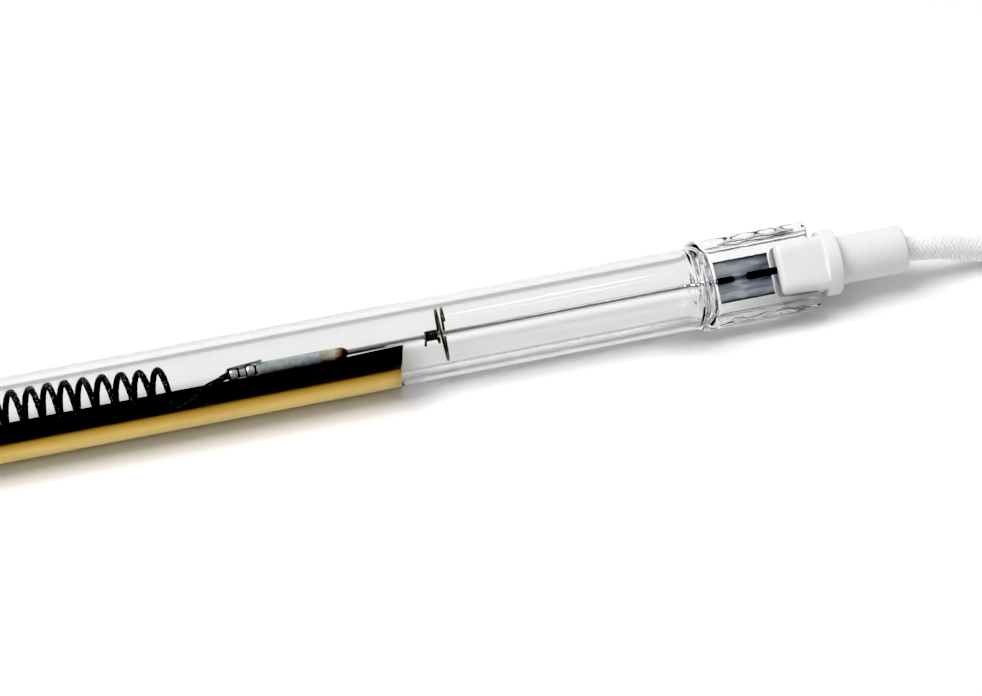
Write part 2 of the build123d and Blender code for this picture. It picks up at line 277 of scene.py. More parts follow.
def toned_metal(name, stops, rough, weight, depth=0.00004):
    """Metal whose tone follows a number stored on the mesh, broken up by a little grain."""
    mat, tree, shader = material(name)
    look(shader, Metallic=weight, Roughness=rough)
    field = grain(tree, 1.2, 5, (0.14, 1.4, 1.4), 0.6)
    mixed = combine(tree, "MULTIPLY_ADD", field, 0.3, attribute(tree, "tone"))
    tree.links.new(ramp(tree, mixed, stops), shader.inputs["Base Color"])
    bump(tree, shader, grain(tree, 2.0, 4, (0.14, 1.5, 1.5)), 0.4, depth)
    return mat


def braid_cover():
    mat, tree, shader = material("braided_cover")
    look(shader, Roughness=0.62, IOR=1.45, Sheen_Weight=0.3)
    # Grey in the gaps between the yarns and near white on their crowns: painted shade in the gaps
    tone = ramp(tree, attribute(tree, "weave"), [
        (0.0, (0.12, 0.115, 0.12)),
        (0.3, (0.4, 0.39, 0.395)),
        (0.6, (0.88, 0.87, 0.87)),
        (1.0, (0.96, 0.95, 0.945)),
    ])
    tree.links.new(tone, shader.inputs["Base Color"])
    bump(tree, shader, grain(tree, 9, 3), 0.35, 0.00003)
    return mat


# Painted pool of light on the floor: emission under the clear tube and in front of it, standing in for the
# light the tube gathers. Its strength, then where it begins, is full, begins to fall and ends, across the
# tube and along it
PAINTED_FLOOR_LIGHT = [
    (0.5, (-2.3, -2.0, 5.0, 9.0), (82.0, 90.0, 128.0, 148.0)),
    (0.34, (-12.0, -7.0, -4.6, -2.8), (84.0, 92.0, 118.0, 130.0)),
]


def floor_band(tree, axis, stops):
    """Factor that rises and falls across a band of the floor, in millimetres."""
    coords = add(tree, "ShaderNodeTexCoord")
    split = add(tree, "ShaderNodeSeparateXYZ")
    tree.links.new(coords.outputs["Object"], split.inputs[0])
    sides = []
    for start, end in ((stops[0], stops[1]), (stops[3], stops[2])):
        side = add(tree, "ShaderNodeMapRange", interpolation_type="SMOOTHSTEP")
        side.inputs["From Min"].default_value = start * MM
        side.inputs["From Max"].default_value = end * MM
        tree.links.new(split.outputs[axis], side.inputs["Value"])
        sides.append(side.outputs["Result"])
    return combine(tree, "MULTIPLY", *sides)


def floor_look():
    mat, tree, shader = material("table")
    look(shader, Roughness=0.55, IOR=1.3)
    tone = ramp(tree, grain(tree, 0.02, 2), [(0.3, (0.885, 0.882, 0.882)), (0.7, (0.9, 0.896, 0.898))])
    tree.links.new(tone, shader.inputs["Base Color"])
    # White emission in bands round the clear tube: a painted pool of light on the floor
    look(shader, Emission_Color=(1, 1, 1, 1))
    bands = []
    for strength, across, along in PAINTED_FLOOR_LIGHT:
        band = combine(tree, "MULTIPLY", floor_band(tree, "Y", across), strength)
        bands.append(combine(tree, "MULTIPLY", band, floor_band(tree, "X", along)))
    tree.links.new(combine(tree, "ADD", *bands), shader.inputs["Emission Strength"])
    return mat


MATERIALS = {
    "clear_quartz": clear_quartz(),
    "gold_coating": gold_coating(),
    "carbon_rope": carbon_rope(),
    "lead_core": metal("lead_core", (0.78, 0.45, 0.28), 0.35),
    "braided_cover": braid_cover(),
    "tie_band": matte("tie_band", (0.06, 0.06, 0.065), 0.55, 3.0, 0.3),
    "tinned_metal": metal("tinned_metal", (0.7, 0.7, 0.69), 0.28, 1.2, 0.2, (1, 1, 1)),
    "seal_foil": toned_metal("seal_foil", [
        (0.1, (0.02, 0.021, 0.028)),
        (0.35, (0.16, 0.17, 0.22)),
        (0.65, (0.44, 0.47, 0.57)),
        (1.0, (0.85, 0.87, 0.93)),
    ], 0.26, 0.25),
    "grey_wire": toned_metal("grey_wire", [
        (0.2, (0.02, 0.02, 0.026)),
        (0.45, (0.42, 0.44, 0.48)),
        (0.62, (0.9, 0.93, 0.98)),
    ], 0.06, 0.75, 0.000002),
    "dark_pin": metal("dark_pin", (0.045, 0.045, 0.055), 0.35, 1.5, 0.4, (0.2, 1, 1)),
    "white_ceramic": matte("white_ceramic", (0.78, 0.785, 0.785), 0.8, 0.5, 0.04, 0.00003, 0.35, 0.15),
    "cement": matte("cement", (0.72, 0.71, 0.68), 0.9, 2.5, 0.25, 0.0001, 0.8),
    "bright_clip": toned_metal("bright_clip", [
        (0.3, (0.008, 0.008, 0.009)),
        (0.75, (0.25, 0.26, 0.29)),
        (1.05, (0.97, 0.98, 1.0)),
    ], 0.2, 0.45),
    "grey_sleeve": matte("grey_sleeve", (0.64, 0.69, 0.72), 0.45, 1.2, 0.4, 0.00008, 0.7),
    "burnt_bead": burnt_bead(),
    "support_wire": metal("support_wire", (0.12, 0.1, 0.09), 0.35, 2.0, 0.4, (1, 1, 1)),
}
PAINTED_REFLECTION_BACKING = painted_reflection_backing()


# Meshes

def make_mesh(name, verts, faces, place=LAY, flip=False, smooth=True, numbers=None):
    """New object from points in millimetres and faces, with numbers stored per point."""
    mesh = bpy.data.meshes.new(name)
    points = np.asarray(verts, dtype=float)
    if isinstance(faces, np.ndarray):
        faces = faces[:, ::-1].tolist() if flip else faces.tolist()
    elif flip:
        faces = [tuple(reversed(face)) for face in faces]
    turn = np.array(place)
    placed = points @ turn[:3, :3].T + turn[:3, 3]
    mesh.from_pydata(placed.tolist(), [], faces)
    for key, values in (numbers or {}).items():
        layer = mesh.attributes.new(key, "FLOAT", "POINT")
        layer.data.foreach_set("value", np.asarray(values, dtype=np.float32).ravel())
    mesh.polygons.foreach_set("use_smooth", [smooth] * len(mesh.polygons))
    mesh.update()
    mesh.validate()
    obj = bpy.data.objects.new(name, mesh)
    bpy.context.collection.objects.link(obj)
    return obj


def face_outward(obj):
    """Turn the faces of closed shapes outward."""
    shape = bmesh.new()
    shape.from_mesh(obj.data)
    bmesh.ops.recalc_face_normals(shape, faces=shape.faces)
    shape.to_mesh(obj.data)
    shape.free()


def dress(obj, slot, *nodes):
    obj.data.materials.clear()
    obj.data.materials.append(MATERIALS[slot])
    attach(obj, "root")
    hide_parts(*nodes)


def mirror_points(points):
    """The same points at the left end, as a mirror image."""
    return np.asarray(points) * (-1, 1, 1)


def turn_points(points):
    """The same points at the left end, turned end for end."""
    return np.asarray(points) * (-1, 1, -1)


def both_ends(name, node, points, faces, slot, turned=False, **more):
    """One piece at each end, mirrored or turned end for end on the left."""
    pieces = []
    for side in SIDES:
        placed = points
        flip = False
        if side == "left":
            placed = turn_points(points) if turned else mirror_points(points)
            flip = not turned
        obj = make_mesh(name + "_" + side, placed, faces, flip=flip, **more)
        dress(obj, slot, node + "_" + side)
        pieces.append(obj)
    return pieces


def rings_mesh(rings, ends="closed"):
    """Points and faces of a skin over rings of equal count, given in order along +X.

    Its ends are closed, or joined where the last ring meets the first.
    """
    rings = np.asarray(rings, dtype=float)
    count, around = rings.shape[:2]
    grid = np.arange(count * around).reshape(count, around)
    if ends == "joined":
        grid = np.concatenate([grid, grid[:1]])
    after = np.roll(grid, -1, axis=1)
    faces = np.stack([grid[:-1], after[:-1], after[1:], grid[1:]], axis=-1).reshape(-1, 4).tolist()
    if ends == "closed":
        faces.append(tuple(grid[0][::-1]))
        faces.append(tuple(grid[-1]))
    return rings.reshape(-1, 3), [tuple(face) for face in faces]


def slab_faces(rows, columns):
    """Faces of a thin slab: two grids of points, one over the other, and the rim between them."""
    index = np.arange(2 * rows * columns).reshape(2, rows, columns)
    corners = [index[:, :-1, :-1], index[:, 1:, :-1], index[:, 1:, 1:], index[:, :-1, 1:]]
    sheets = np.stack(corners, axis=-1).reshape(-1, 4)
    near, far = index[:, 0, :].T, index[:, -1, -2::-1].T
    rim = np.concatenate([near, index[:, 1:, -1].T, far, index[:, -2:0:-1, 0].T])
    after = np.roll(rim, -1, axis=0)
    return np.concatenate([sheets, np.column_stack([rim[:, 0], after[:, 0], after[:, 1], rim[:, 1]])])


def lathe(profile, around, centre=(0.0, 0.0), ends="closed"):
    """Rings of a turned shape from (x, radius) pairs."""
    angles = np.linspace(0, 2 * math.pi, around, endpoint=False)
    rings = []
    for x, radius in profile:
        rings.append(np.stack([
            np.full(around, x),
            centre[0] + radius * np.cos(angles),
            centre[1] + radius * np.sin(angles),
        ], axis=-1))
    return rings_mesh(rings, ends)


def rounded(x, radius, bend_x, bend_radius):
    """Quarter-round corner of a profile: from (x, radius - bend_radius) out to (x + bend_x, radius)."""
    steps = 5
    corner = []
    for step in range(steps + 1):
        angle = math.pi / 2 * step / steps
        corner.append((
            x + bend_x * (1 - math.cos(angle)),
            radius - bend_radius * (1 - math.sin(angle)),
        ))
    return corner


def path_frames(points, first):
    """Tangents and two normals carried along a line of points without twist."""
    points = np.asarray(points, dtype=float)
    tangents = np.gradient(points, axis=0)
    tangents /= np.linalg.norm(tangents, axis=1)[:, None]
    side = np.array(first, dtype=float)
    sides = []
    for tangent in tangents:
        side = side - tangent * side.dot(tangent)
        side /= np.linalg.norm(side)
        sides.append(side)
    sides = np.array(sides)
    return tangents, sides, np.cross(tangents, sides)


def measured(points):
    """Distance run at each point of a line."""
    steps = np.linalg.norm(np.diff(points, axis=0), axis=1)
    return np.concatenate([[0], np.cumsum(steps)])


def spaced(points, step):
    """Points at equal steps along a line."""
    points = np.asarray(points, dtype=float)
    run = measured(points)
    count = max(2, int(round(run[-1] / step)) + 1)
    at = np.linspace(0, run[-1], count)
    return np.stack([np.interp(at, run, points[:, axis]) for axis in range(3)], axis=-1)


def tube(points, radius, around, first=(0, 0, 1)):
    """Skin round a line of points. radius is a number, or a grid of one value per point and angle."""
    _, sides, ups = path_frames(points, first)
    angles = np.linspace(0, 2 * math.pi, around, endpoint=False)
    radius = np.broadcast_to(radius, (len(points), around))[..., None]
    spokes = sides[:, None] * np.cos(angles)[None, :, None] + ups[:, None] * np.sin(angles)[None, :, None]
    rings = np.asarray(points)[:, None] + spokes * radius
    return rings_mesh(rings)


def smooth_line(points, per):
    """Smooth line through a few points."""
    points = [Vector(point) for point in points]
    ends = [points[0] * 2 - points[1], *points, points[-1] * 2 - points[-2]]
    line = []
    for a, b, c, d in zip(ends, ends[1:], ends[2:], ends[3:]):
        for step in range(per):
            t = step / per
            line.append(
                0.5 * ((2 * b) + (c - a) * t + (2 * a - 5 * b + 4 * c - d) * t ** 2
                       + (3 * b - a - 3 * c + d) * t ** 3)
            )
    line.append(points[-1])
    return np.array([tuple(point) for point in line])


def braid_height(around, along, yarns, pitch, over):
    """Height from 0 to 1 of yarns that cross in two directions, each over and then under."""
    first = yarns * (around + along / pitch)
    second = yarns * (around - along / pitch)
    on_top = np.mod(np.floor(first) + np.floor(second), 2 * over) < over

    def crown(phase):
        return np.sqrt(np.clip(1 - (2 * np.mod(phase, 1) - 1) ** 2, 0, 1))

    upper = np.where(on_top, crown(first), crown(second))
    lower = np.where(on_top, crown(second), crown(first))
    return np.maximum(upper, 0.45 * lower)


def braided(name, line, radius, depth, around, yarns, pitch, over, first=(0, 0, 1), place=LAY):
    """Cord along a line, with yarns that cross over and under each other on its skin."""
    share = np.arange(around) / around
    weave = braid_height(share[None, :], measured(line)[:, None], yarns, pitch, over)
    verts, faces = tube(line, radius - depth * (1 - weave), around, first)
    return make_mesh(name, verts, faces, place=place, numbers={"weave": weave})


# Camera and floor

RIGHT = Vector((0.9613, -0.2756, 0.0))
UP = Vector((0.1844, 0.6432, 0.7431))
BACK = Vector((-0.2048, -0.7144, 0.6691))
TARGET = Vector((0.09724, -0.00194, 0.00381))
CAMERA_DISTANCE = 0.8
VIEW_WIDTH = 0.1417
SENSOR = 36.0

camera = bpy.data.objects.new("camera", bpy.data.cameras.new("camera"))
camera.data.sensor_width = SENSOR
camera.data.sensor_fit = "HORIZONTAL"
camera.data.lens = SENSOR * CAMERA_DISTANCE / VIEW_WIDTH
camera.data.clip_start = 0.01
camera.data.clip_end = 20
camera.location = TARGET + BACK * CAMERA_DISTANCE
camera.rotation_euler = Matrix((RIGHT, UP, BACK)).transposed().to_euler()
bpy.context.collection.objects.link(camera)
bpy.context.scene.camera = camera

FLOOR_HALF = 1500.0
CORNERS = ((-1, -1), (1, -1), (1, 1), (-1, 1))
floor = make_mesh(
    "floor", [(x * FLOOR_HALF, y * FLOOR_HALF, 0) for x, y in CORNERS], [(0, 1, 2, 3)],
    place=FLAT, smooth=False,
)
floor.data.materials.append(floor_look())


# Braided lead, its tie and its terminal

LEAD_ROUTE = [
    (-4.5, 0.0, AXIS_HEIGHT),
    (3.0, 0.0, AXIS_HEIGHT),
    (13.0, 0.1, 2.55),
    (17.0, 0.0, LAY_HEIGHT),
    (21.0, 0.0, LAY_HEIGHT),
]
HANK_X = OUTLET_X + 21.0
HANK_ROUTE = [
    (65.74, 0.0),
    (71.49, -9.95),
    (65.74, -19.9),
    (-2.13, -19.9),
    (-6.77, -11.88),
    (-2.13, -3.85),
    (30.0, -3.85),
    (42.0, -9.15),
    (51.6, -9.95),
]
TIE_X = HANK_X + 18.0
# Outer runs of the hank, which the tie goes round
TIED_RUNS = (0.0, -19.9)
TIE_SLACK = 0.1
# Section of the tie: distance outward and place along the lamp
TIE_SECTION = [(0.0, -1.5), (0.08, -1.44), (0.08, 1.44), (0.0, 1.5), (-0.06, 1.44), (-0.06, -1.44)]


def lead_points():
    """Control points of the lead: out of the cap, down to the table and round the hank."""
    points = [(OUTLET_X + x, y, z) for x, y, z in LEAD_ROUTE]
    return points + [(HANK_X + x, y, LAY_HEIGHT) for x, y in HANK_ROUTE]


def spline_line(points):
    """Points on the NURBS spline whose control points are given, all in millimetres."""
    curve = bpy.data.curves.new("lead_line", "CURVE")
    curve.dimensions = "3D"
    curve.resolution_u = 12
    spline = curve.splines.new("NURBS")
    spline.points.add(len(points) - 1)
    for point, (x, y, z) in zip(spline.points, points):
        point.co = (x, y, z, 1)
    spline.order_u = 3
    spline.use_endpoint_u = True
    obj = bpy.data.objects.new("lead_line", curve)
    bpy.context.collection.objects.link(obj)
    bpy.context.view_layer.update()
    line = bpy.data.meshes.new_from_object(obj)
    places = np.array([tuple(vert.co) for vert in line.vertices])
    bpy.data.meshes.remove(line)
    bpy.data.objects.remove(obj)
    bpy.data.curves.remove(curve)
    return places


LEAD_STEP = 0.13
# Depth of the gaps, points round the cord, yarns in each direction, their pitch, and how many each crosses
LEAD_BRAID = {"depth": 0.16, "around": 72, "yarns": 12, "pitch": 8.6, "over": 2}

lead_line = spaced(spline_line(lead_points()), LEAD_STEP)
lead = braided("braided_lead", lead_line, LEAD_RADIUS, place=FLAT, **LEAD_BRAID)
dress(lead, "braided_cover", "lead_wire", "lead_hank")


def lead_tie():
    """Band round the runs of the hank, with rounded edges."""
    reach = LEAD_RADIUS + TIE_SLACK
    steps = 10
    outline, outward = [], []
    for middle, start in zip(TIED_RUNS, (-90, 90)):
        for step in range(steps + 1):
            bend = math.radians(start + 180 * step / steps)
            outward.append((math.cos(bend), math.sin(bend)))
            outline.append((middle + reach * math.cos(bend), LAY_HEIGHT + reach * math.sin(bend)))
    rings = []
    for offset, place in TIE_SECTION:
        moved = np.array(outline) + np.array(outward) * offset
        rings.append(np.column_stack([
            np.full(len(outline), TIE_X + place), moved[:, 0], np.maximum(moved[:, 1], 0.02)
        ]))
    obj = make_mesh("lead_tie_band", *rings_mesh(rings, "joined"), place=FLAT)
    face_outward(obj)
    dress(obj, "tie_band", "lead_tie")
    return obj


tie = lead_tie()


# Glass envelope: round tube, flared shoulders and pressed seals

# Points on a quarter of the outline
QUARTER = 24
RAIL_WIDTH = 1.55
RAIL_HALF_HEIGHT = 2.1
WEB_HALF = 1.2
PINCH_HALF_WIDTH = 6.45
RAIL_ROUND = 0.72
# Where the seal's end starts to round off, how far it runs on from there and how far it draws in
SEAL_LENGTH = 13.9
SEAL_ROUND = 1.1
SEAL_SHRINK = 0.85
# Unevenness of the shoulder, the seal and the closed end of the bore
SHOULDER_RIPPLE = 0.07
SEAL_RIPPLE = 0.14
BORE_RIPPLE = 0.55
# Long bubble drawn out inside each rail
BUBBLE_START = 1.2
BUBBLE_END = 13.4
BUBBLE_WIDE = 0.2
BUBBLE_HIGH = 1.0


def seal_outline():
    """Outline of the pressed seal: two rails and the web between them, anticlockwise from +Y."""
    inner = PINCH_HALF_WIDTH - RAIL_WIDTH
    corner = RAIL_ROUND
    bend = 0.35
    points = []
    for share in (0, 0.5, 1):
        points.append((PINCH_HALF_WIDTH, share * (RAIL_HALF_HEIGHT - corner)))
    for angle in (15, 30, 45, 60, 75, 90):
        turn = math.radians(angle)
        points.append((
            PINCH_HALF_WIDTH - corner * (1 - math.cos(turn)),
            RAIL_HALF_HEIGHT - corner * (1 - math.sin(turn)),
        ))
    for angle in (20, 45, 70, 90):
        turn = math.radians(angle)
        points.append((
            inner + 0.5 * (1 - math.sin(turn)),
            RAIL_HALF_HEIGHT - 0.5 * (1 - math.cos(turn)),
        ))
    for angle in (0, 45, 90):
        turn = math.radians(angle)
        points.append((inner - bend * (1 - math.cos(turn)), WEB_HALF + bend * (1 - math.sin(turn))))
    left = QUARTER - len(points)
    for step in range(1, left + 1):
        points.append(((inner - bend) * (1 - step / left), WEB_HALF))
    return points


def quarter_angles(outline):
    """Angles on a round section that go with the points of a quarter of the seal."""
    run = measured(np.column_stack([outline, np.zeros(len(outline))]))
    return math.pi / 2 * run / run[-1]


def full_turn(quarter):
    """A whole outline from a quarter that starts on +Y and ends on +Z."""
    quarter = np.array(quarter)
    second = (quarter * (-1, 1))[:-1][::-1]
    half = np.concatenate([quarter, second])
    return np.concatenate([half, (half * (1, -1))[1:-1][::-1]])


SEAL = seal_outline()
SEAL_LOOP = full_turn(SEAL)
ANGLES = quarter_angles(SEAL)
ROUND_LOOP = full_turn(np.column_stack([np.cos(ANGLES), np.sin(ANGLES)]))

# Shoulder stations: distance from the start of the pinch, half width, half thickness, share of seal
SHOULDER = [
    (-5.2, 6.0, 6.0, 0.0),
    (-4.4, 6.02, 5.98, 0.0),
    (-3.7, 6.16, 5.8, 0.0),
    (-3.1, 6.45, 5.4, 0.0),
    (-2.6, 6.7, 4.95, 0.02),
    (-2.1, 6.82, 4.4, 0.08),
    (-1.6, 6.82, 3.8, 0.2),
    (-1.1, 6.74, 3.2, 0.4),
    (-0.6, 6.6, 2.7, 0.65),
    (-0.2, 6.5, 2.35, 0.88),
    (0.2, 6.45, 2.1, 1.0),
]
# Stations of the hollow: distance from the start of the pinch, half width, half thickness
HOLLOW = [
    (-6.0, 4.22, 4.22),
    (-4.6, 4.25, 4.2),
    (-3.7, 4.55, 4.05),
    (-3.0, 4.8, 3.7),
    (-2.3, 4.85, 3.1),
    (-1.6, 4.7, 2.4),
    (-1.1, 4.35, 1.8),
    (-0.7, 3.7, 1.2),
    (-0.4, 2.8, 0.7),
    (-0.2, 1.6, 0.3),
    (-0.12, 0.5, 0.1),
]
HOLLOW_STEPS = 44


def ripple(x, y, z, size, depth):
    """Smooth random offset of a pressed surface."""
    return depth * noise.noise(Vector((x * size, y * size, z * size)))


def glass_end():
    """Rings of the outside from the shoulder to the end of the seal, for the right end."""
    rings = []
    for place, wide, thick, share in SHOULDER:
        loop = ROUND_LOOP * (wide, thick) * (1 - share) + SEAL_LOOP * share
        rings.append((PINCH_X + place, loop))
    seal_stations = [0.6 + 0.5 * step for step in range(27)]
    rings += [(PINCH_X + place, SEAL_LOOP) for place in seal_stations]
    forward = np.roll(SEAL_LOOP, -1, axis=0) - np.roll(SEAL_LOOP, 1, axis=0)
    inward = np.column_stack([-forward[:, 1], forward[:, 0]])
    inward /= np.linalg.norm(inward, axis=1)[:, None]
    for step in range(1, 6):
        bend = math.pi / 2 * step / 5
        shrink = SEAL_SHRINK * (1 - math.cos(bend))
        rings.append((PINCH_X + SEAL_LENGTH + SEAL_ROUND * math.sin(bend), SEAL_LOOP + inward * shrink))
    shaped = []
    for x, loop in rings:
        place = x - PINCH_X
        depth = 0.0 if place < -4 else SHOULDER_RIPPLE if place < 0.5 else SEAL_RIPPLE
        ring = []
        for y, z in loop:
            offset = ripple(x, y, z, 0.8, depth)
            ring.append((x + 0.3 * offset, y + offset * np.sign(y) * 0.6, z + offset * np.sign(z)))
        shaped.append(ring)
    return np.array(shaped)


def rail_bubble(side):
    """Skin of the long, uneven bubble in a rail of the right-hand pinch."""
    middle = side * (PINCH_HALF_WIDTH - RAIL_WIDTH / 2)
    angles = np.linspace(0, 2 * math.pi, 16, endpoint=False)
    rings = []
    for place in np.linspace(BUBBLE_START, BUBBLE_END, 60):
        share = (place - BUBBLE_START) / (BUBBLE_END - BUBBLE_START)
        size = max(0.02, 1 - abs(2 * share - 1) ** 12)
        size *= 1 + 0.5 * noise.noise(Vector((place * 0.45, middle, 3.0)))
        shift = 0.14 * noise.noise(Vector((place * 0.35, middle, 8.0)))
        rings.append(np.column_stack([
            np.full(len(angles), PINCH_X + place),
            middle + shift + BUBBLE_WIDE * size * np.cos(angles),
            BUBBLE_HIGH * size * np.sin(angles),
        ]))
    return rings_mesh(rings)


def envelope():
    """Outer skin, hollow and rail bubbles of the glass as one mesh."""
    right = glass_end()
    left = right[::-1] * (-1, 1, 1)
    verts, faces = rings_mesh(np.concatenate([left, right]))
    hollow = []
    steps = np.linspace(0, len(HOLLOW) - 1, HOLLOW_STEPS)
    stations = [np.interp(steps, range(len(HOLLOW)), column) for column in zip(*HOLLOW)]
    for place, wide, thick in zip(*stations):
        depth = BORE_RIPPLE * min(1.0, max(0.0, (place + 4.2) / 1.2))
        ring = []
        for y, z in ROUND_LOOP * (wide, thick):
            fold = depth * noise.noise(Vector((place * 1.5, y * 0.35, 4.0 + np.sign(z))))
            ring.append((PINCH_X + place, y * (1 + 0.12 * fold), z * (1 + fold)))
        hollow.append(ring)
    hollow = np.array(hollow)
    inner, inner_faces = rings_mesh(np.concatenate([hollow[::-1] * (-1, 1, 1), hollow]))
    parts = [verts, inner]
    count = len(verts)
    faces += [tuple(index + count for index in reversed(face)) for face in inner_faces]
    count += len(inner)
    for side in (-1, 1):
        for turn in (-1, 1):
            bubble, bubble_faces = rail_bubble(side)
            if turn < 0:
                bubble = bubble * (-1, 1, 1)
            for face in bubble_faces:
                faces.append(tuple(index + count for index in (face if turn < 0 else reversed(face))))
            parts.append(bubble)
            count += len(bubble)
    obj = make_mesh("glass_envelope", np.concatenate(parts), faces)
    dress(obj, "clear_quartz", "quartz_envelope")


envelope()


# Gold coating on the outside; the side that faces the glass is painted black, standing in for a dark
# reflection

# Near and far edge of the coating, in degrees round the axis
COAT_START = 132.7
COAT_END = 271.0
# The far edge of the coating stands higher near its ends
COAT_LIFT = 4.2
LIFT_LENGTH = 9.0
COAT_ROWS = 61
COAT_STEPS = 48
# How far its skins stand out from the glass and in from its surface
COAT_OUTSIDE = 0.045
COAT_INSIDE = -0.012
# End of the coating by angle: distance short of the start of the pinch
COAT_ENDS = [(136.5, 48.8), (165.0, 48.6), (190.0, 48.3), (240.0, 46.8), (273.0, 45.9)]


def gold_strip():
    """Curved strip with a slightly uneven edge at each end."""
    angles = np.linspace(COAT_START, COAT_END, COAT_STEPS)
    ends = np.interp(angles, [a for a, _ in COAT_ENDS], [d for _, d in COAT_ENDS])
    wobble = np.array([0.18 * noise.noise(Vector((angle * 0.12, 3.1, 0))) for angle in angles])
    reach = PINCH_X - ends + wobble
    stations = np.linspace(-1, 1, COAT_ROWS)
    shares = (angles - COAT_START) / (COAT_END - COAT_START)
    grid = []
    for radius in (TUBE_RADIUS + COAT_OUTSIDE, TUBE_RADIUS + COAT_INSIDE):
        for station in stations:
            near_end = max(0.0, 1 - (1 - abs(station)) * reach.mean() / LIFT_LENGTH)
            turn = np.radians(angles + COAT_LIFT * near_end ** 0.35 * shares)
            grid.append(np.column_stack([
                reach * station, radius * np.cos(turn), radius * np.sin(turn)
            ]))
    faces = slab_faces(COAT_ROWS, COAT_STEPS)
    numbers = {"around": np.tile(shares, 2 * COAT_ROWS)}
    obj = make_mesh("gold_strip", np.concatenate(grid), faces, numbers=numbers)
    dress(obj, "gold_coating", "gold_reflector")
    obj.data.materials.append(PAINTED_REFLECTION_BACKING)
    skin = (COAT_ROWS - 1) * (COAT_STEPS - 1)
    looks = np.zeros(len(faces), dtype=int)
    looks[skin:2 * skin] = 1
    obj.data.polygons.foreach_set("material_index", looks.tolist())
    face_outward(obj)


gold_strip()


# Carbon rope

ROPE_RADIUS = 0.47
ROPE_STEP = 0.15
ROPE_BRAID = {"depth": 0.12, "around": 20, "yarns": 3, "pitch": 3.2, "over": 1}
TURN_STEPS = 110
COIL_RISE = 0.72
END_SAG = 0.95
SAG_TURNS = 7.0
# How far the last turns have slid towards the end of the lamp, from the end inwards
TURN_SHIFTS = [0.1, 0.2, 0.3, 0.42, 0.36, 0.42, 0.66, 1.0, 1.1, 1.0, 0.8, 0.55, 0.3, 0.1, 0.0]


def coil_line():
    """Middle of the rope: the turns, sagging at their ends, and the tails that rise to the clips."""
    turns = np.linspace(0, COIL_TURNS, COIL_TURNS * TURN_STEPS + 1)
    from_end = np.minimum(turns, COIL_TURNS - turns)
    side = np.where(turns > COIL_TURNS / 2, 1.0, -1.0)
    shift = np.interp(from_end, np.arange(len(TURN_SHIFTS)), TURN_SHIFTS)
    wobble = np.array([noise.noise(Vector((turn * 0.45, 7.3, 0))) for turn in turns])
    fade = np.clip((from_end - 8) / 3, 0, 1)
    x = COIL_PITCH * (turns - COIL_TURNS / 2) + side * shift + 0.35 * wobble * fade
    fall = np.clip(1 - from_end / SAG_TURNS, 0, 1) ** 1.3
    rise = COIL_RISE - END_SAG * fall + 0.08 * wobble
    radius = COIL_RADIUS + 0.05 * wobble
    angle = 2 * math.pi * turns
    coil = np.column_stack([x, rise - radius * np.cos(angle), -radius * np.sin(angle)])
    start_y = coil[-1][1]
    tail = np.array([
        (COIL_END + 0.35, start_y - 0.02, -0.95),
        (COIL_END + 1.1, start_y - 0.02, -1.55),
        (COIL_END + 2.2, start_y + 0.3, -1.55),
        (COIL_END + 3.7, start_y + 1.15, -1.0),
        (COIL_END + 5.3, -0.9, -0.35),
        (COIL_END + 7.2, -0.3, 0.0),
        (CLIP_X + 0.2, CORE_RISE - 0.15, 0.0),
        (CLIP_X + 3.6, CORE_RISE, 0.0),
    ])
    right = smooth_line(np.concatenate([coil[-8:-7], coil[-1:], tail]), 40)[40:]
    left = turn_points(right)[::-1]
    return np.concatenate([left[:-1], coil, right[1:]])


rope_line = spaced(coil_line(), ROPE_STEP)
lumps = np.array([noise.noise(Vector((place * 0.6, 1.7, 0))) for place in measured(rope_line)])
uneven = (ROPE_RADIUS + 0.03 * lumps)[:, None]
rope = braided("carbon_rope_braid", rope_line, uneven, first=(1, 0, 0), **ROPE_BRAID)
dress(rope, "carbon_rope", "carbon_coil")


# Clips, sleeves and beads

# Height of the axis that clip, sleeve and bead share
TAIL_RISE = CORE_RISE - 0.1
TAIL_AROUND = 40
CLIP_RADIUS = 0.72
BAND_RADIUS = 0.9
BAND_WIDTH = 1.2
BAND_STARTS = (0.25, 2.75)
BAND_STEPS = 12
PLATE_HALF = 0.95
PLATE_LENGTH = 5.2
PLATE_THICK = 0.13
SLEEVE_RADIUS = 0.93
BEAD_RADIUS = 0.92
BEAD_CORE = 0.4
# Share of the bead's length at which it starts to round off
BEAD_SHOULDER = 0.78


